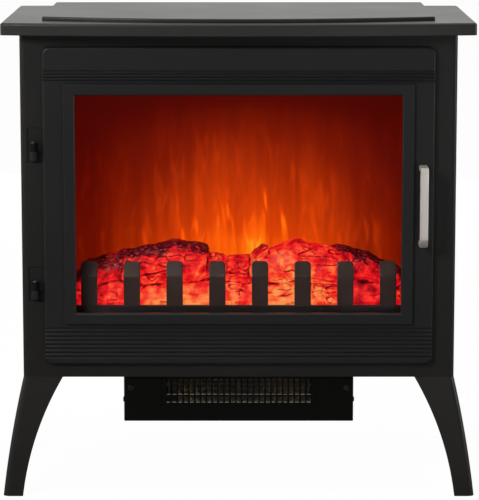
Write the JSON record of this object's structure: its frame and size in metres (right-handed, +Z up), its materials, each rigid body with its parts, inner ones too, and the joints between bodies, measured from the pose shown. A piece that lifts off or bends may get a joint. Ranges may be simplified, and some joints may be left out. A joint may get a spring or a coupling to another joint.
{
  "type": "electric fireplace",
  "caption": "Free-standing electric fireplace in stove style: steel casing on splayed legs, hinged glazed door over a lit log bed, and a fan heater box underneath.",
  "frame": {"origin": "on the floor, under the middle of the object's box", "axes": "+Z up, the door faces -Y, +X to the right of someone who looks at the door"},
  "size_m": [0.549, 0.296, 0.5565],
  "materials": {
    "casing_paint": "satin powder coat",
    "door_paint": "satin powder coat",
    "heater_paint": "satin powder coat",
    "satin_steel": "brushed",
    "zinc_steel": "zinc plated",
    "black_screws": "black oxide",
    "window_glass": "clear",
    "gasket_rubber": "matt",
    "grate_iron": "matt black",
    "log_resin": "moulded translucent",
    "flame_screen": "diffusing",
    "lamp_board": "white solder mask",
    "spindle_foil": "bright",
    "magnet": "moulded",
    "mica": "mica",
    "element_wire": "heat tinted",
    "fan_aluminium": "plain",
    "bush_brass": "plain",
    "motor_steel": "plain",
    "switch_plastic": "fine texture",
    "knob_plastic": "satin"
  },
  "bodies": {
    "casing": {"top_plate": "casing_paint", "raised_top_panel": "casing_paint", "front_frame": "casing_paint", "side_panel_left": "casing_paint", "side_panel_right": "casing_paint", "back_panel": "casing_paint", "base_plate": "casing_paint", "leg_front_left": "casing_paint", "leg_front_right": "casing_paint", "leg_rear_left": "casing_paint", "leg_rear_right": "casing_paint", "leg_screws": "black_screws", "hinge_leaf_body_upper": "door_paint", "hinge_leaf_body_lower": "door_paint", "hinge_pin_upper": "door_paint", "hinge_pin_lower": "door_paint", "magnet_catch": "magnet", "firebox_wall_left": "casing_paint", "firebox_wall_right": "casing_paint", "firebox_ceiling": "casing_paint", "firebox_floor": "casing_paint", "flame_screen": "flame_screen", "grate": "grate_iron", "log_bed": "log_resin", "ember_led_board": "lamp_board", "flame_led_board": "lamp_board", "spindle_brackets": "zinc_steel", "spindle_motor": "motor_steel", "heater_box": "heater_paint", "heater_box_screws": "black_screws", "outlet_guard": "heater_paint", "element_frame": "mica", "heating_wire": "element_wire", "fan_scroll": "zinc_steel", "fan_bush": "bush_brass", "fan_motor": "motor_steel", "thermal_cutout": "switch_plastic", "control_panel": "casing_paint", "switch_housings": "switch_plastic", "thermostat_body": "switch_plastic", "cord_gland": "switch_plastic", "back_panel_screws": "black_screws"},
    "door": {"door_panel": "door_paint", "window_bezel": "door_paint", "glass_gasket": "gasket_rubber", "door_glass": "window_glass", "glass_clips": "zinc_steel", "door_handle": "satin_steel", "handle_screws": "zinc_steel", "hinge_leaf_door_upper": "door_paint", "hinge_leaf_door_lower": "door_paint", "strike_plate": "zinc_steel"},
    "fan": {"fan_rotor": "fan_aluminium"},
    "flame_spindle": {"flame_spindle": "spindle_foil"},
    "rocker_power": {"rocker_power": "switch_plastic"},
    "rocker_low_heat": {"rocker_low_heat": "switch_plastic"},
    "rocker_high_heat": {"rocker_high_heat": "switch_plastic"},
    "thermostat_knob": {"thermostat_knob": "knob_plastic"}
  },
  "joints": [
    {"name": "door_swing", "type": "hinge", "parent": "casing", "child": "door", "pos_m": [-0.2345, -0.1165, 0.34], "axis": [0, 0, -1], "range_deg": [0, 110]},
    {"name": "fan_spin", "type": "hinge", "parent": "casing", "child": "fan", "pos_m": [0, -0.029, 0.11325], "axis": [1, 0, 0], "continuous": true},
    {"name": "flame_spin", "type": "hinge", "parent": "casing", "child": "flame_spindle", "pos_m": [0, 0.033, 0.246], "axis": [1, 0, 0], "continuous": true},
    {"name": "rocker_power_tilt", "type": "hinge", "parent": "casing", "child": "rocker_power", "pos_m": [-0.096, -0.098, 0.1905], "axis": [1, 0, 0], "range_deg": [0, 18]},
    {"name": "rocker_low_heat_tilt", "type": "hinge", "parent": "casing", "child": "rocker_low_heat", "pos_m": [-0.062, -0.098, 0.1905], "axis": [1, 0, 0], "range_deg": [0, 18]},
    {"name": "rocker_high_heat_tilt", "type": "hinge", "parent": "casing", "child": "rocker_high_heat", "pos_m": [-0.028, -0.098, 0.1905], "axis": [1, 0, 0], "range_deg": [0, 18]},
    {"name": "thermostat_turn", "type": "hinge", "parent": "casing", "child": "thermostat_knob", "pos_m": [0.06, -0.104, 0.1905], "axis": [0, -1, 0], "range_deg": [-270, 0]}
  ]
}
